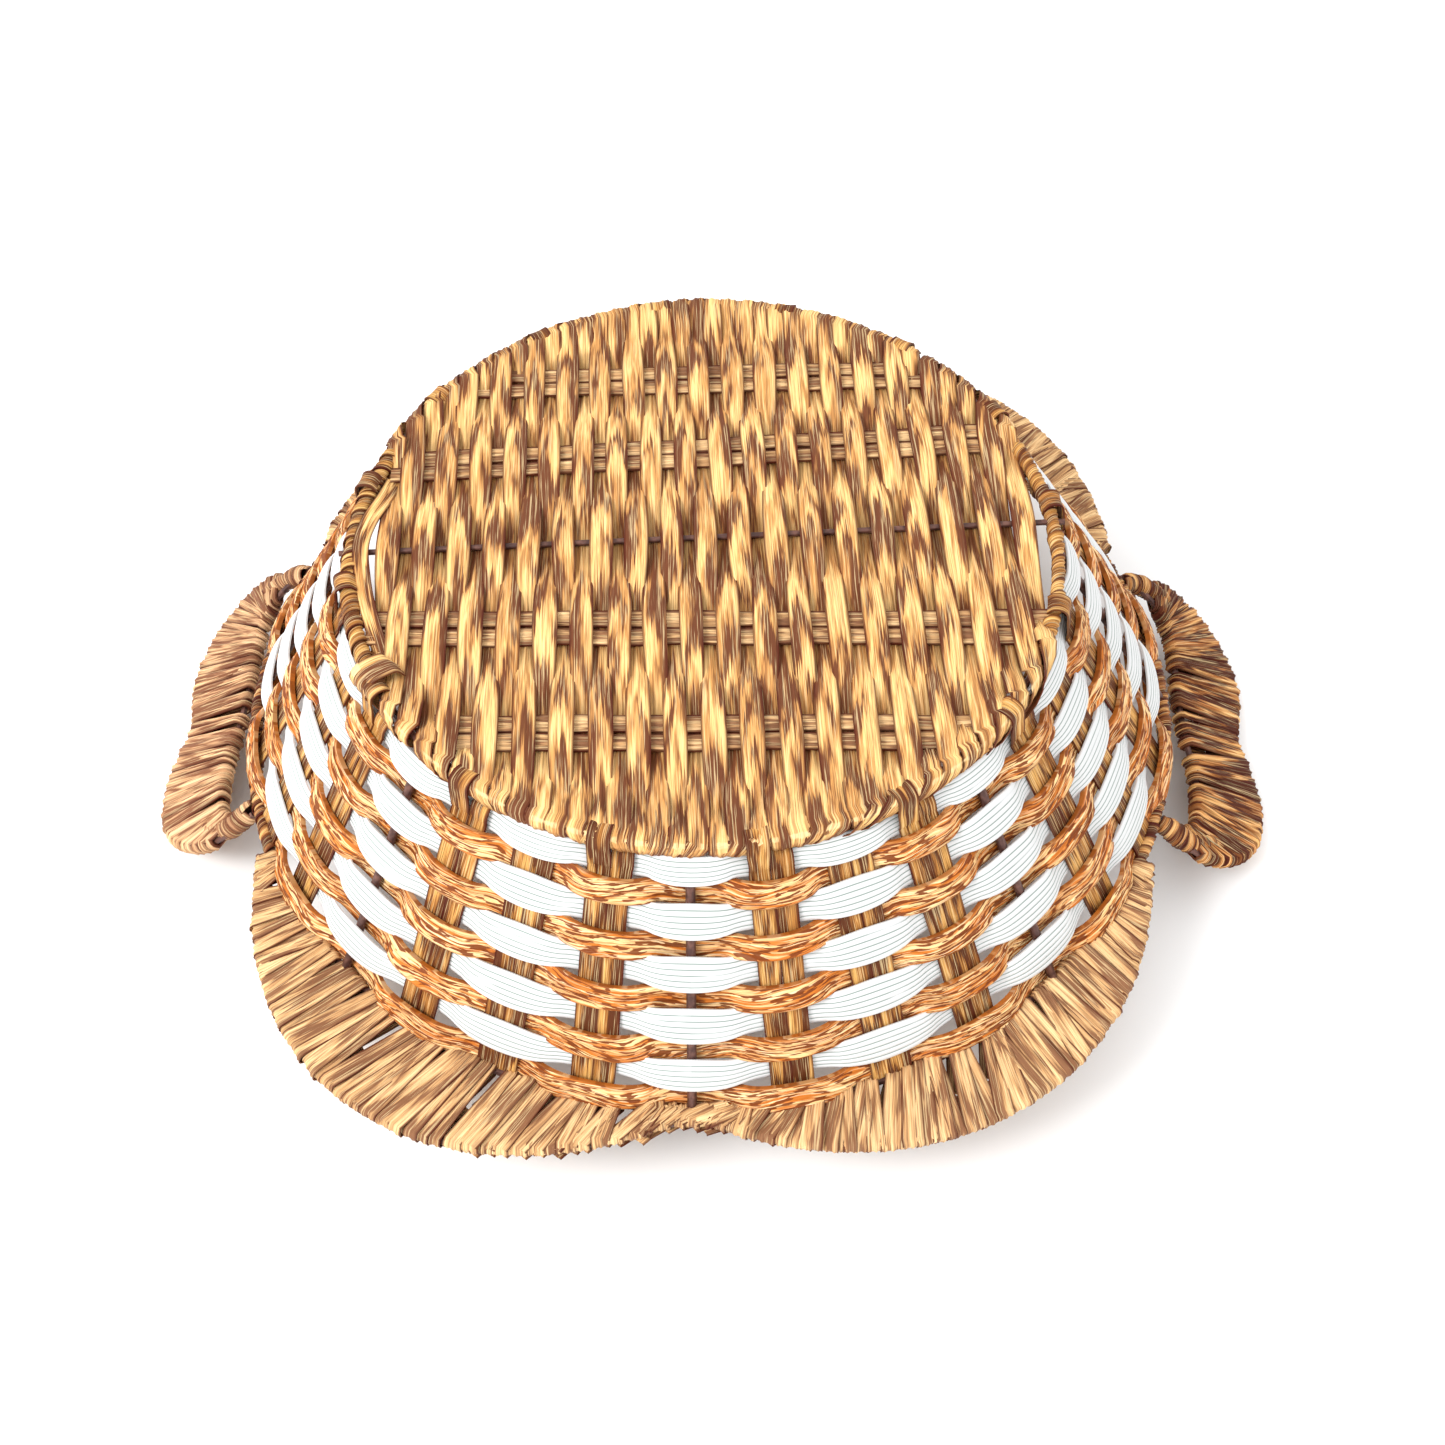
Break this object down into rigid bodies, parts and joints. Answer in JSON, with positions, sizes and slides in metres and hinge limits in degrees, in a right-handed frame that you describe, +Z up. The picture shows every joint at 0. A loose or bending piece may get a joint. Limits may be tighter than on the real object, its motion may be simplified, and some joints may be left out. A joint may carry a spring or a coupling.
{
  "type": "woven basket",
  "caption": "Shallow round woven basket with a flared wall, a lobed flat border and two ear handles, shown upside down on its handles.",
  "frame": {"origin": "on the floor, under the basket's axis, with the basket upside down and standing on its two handles", "axes": "+Z up, from the mouth to the base; +X from the left handle to the right one; -Y towards the viewer"},
  "size_m": [0.4012, 0.3536, 0.116],
  "materials": {
    "wire": "dark brown, satin",
    "raffia": "golden tan with dark purple-brown blotches, fibrous",
    "orange_brown_cane": "orange-brown with cream and dark streaks",
    "white_ribbed_strip": "white, finely ribbed along its length, satin"
  },
  "bodies": {
    "root": {"base_ring": "wire", "base_rod": "wire", "base_twin_1": "raffia", "base_twin_2": "raffia", "base_twin_3": "raffia", "base_twin_4": "raffia", "base_weave": "raffia", "border_wire_back": "wire", "border_wire_front": "wire", "border_wrap_back": "raffia", "border_wrap_front": "raffia", "cane_band_1": "orange_brown_cane", "cane_band_2": "orange_brown_cane", "cane_band_3": "orange_brown_cane", "cane_band_4": "orange_brown_cane", "cane_band_5": "orange_brown_cane", "handle_inner_wire_left": "wire", "handle_inner_wire_right": "wire", "handle_outer_wire_left": "wire", "handle_outer_wire_right": "wire", "handle_wrap_left": "raffia", "handle_wrap_right": "raffia", "ribbed_band_1": "white_ribbed_strip", "ribbed_band_2": "white_ribbed_strip", "ribbed_band_3": "white_ribbed_strip", "ribbed_band_4": "white_ribbed_strip", "ribbed_band_5": "white_ribbed_strip", "rim_ring": "wire", "stake_twin_01": "raffia", "stake_twin_02": "raffia", "stake_twin_03": "raffia", "stake_twin_05": "raffia", "stake_twin_06": "raffia", "stake_twin_07": "raffia", "stake_twin_09": "raffia", "stake_twin_10": "raffia", "stake_twin_11": "raffia", "stake_twin_13": "raffia", "stake_twin_14": "raffia", "stake_twin_15": "raffia", "stake_twin_17": "raffia", "stake_twin_18": "raffia", "stake_twin_19": "raffia", "stake_twin_21": "raffia", "stake_twin_22": "raffia", "stake_twin_23": "raffia", "stake_twin_25": "raffia", "stake_twin_26": "raffia", "stake_twin_27": "raffia", "stake_twin_29": "raffia", "stake_twin_30": "raffia", "stake_twin_31": "raffia", "stake_wire_00": "wire", "stake_wire_04": "wire", "stake_wire_08": "wire", "stake_wire_12": "wire", "stake_wire_16": "wire", "stake_wire_20": "wire", "stake_wire_24": "wire", "stake_wire_28": "wire"}
  },
  "joints": []
}
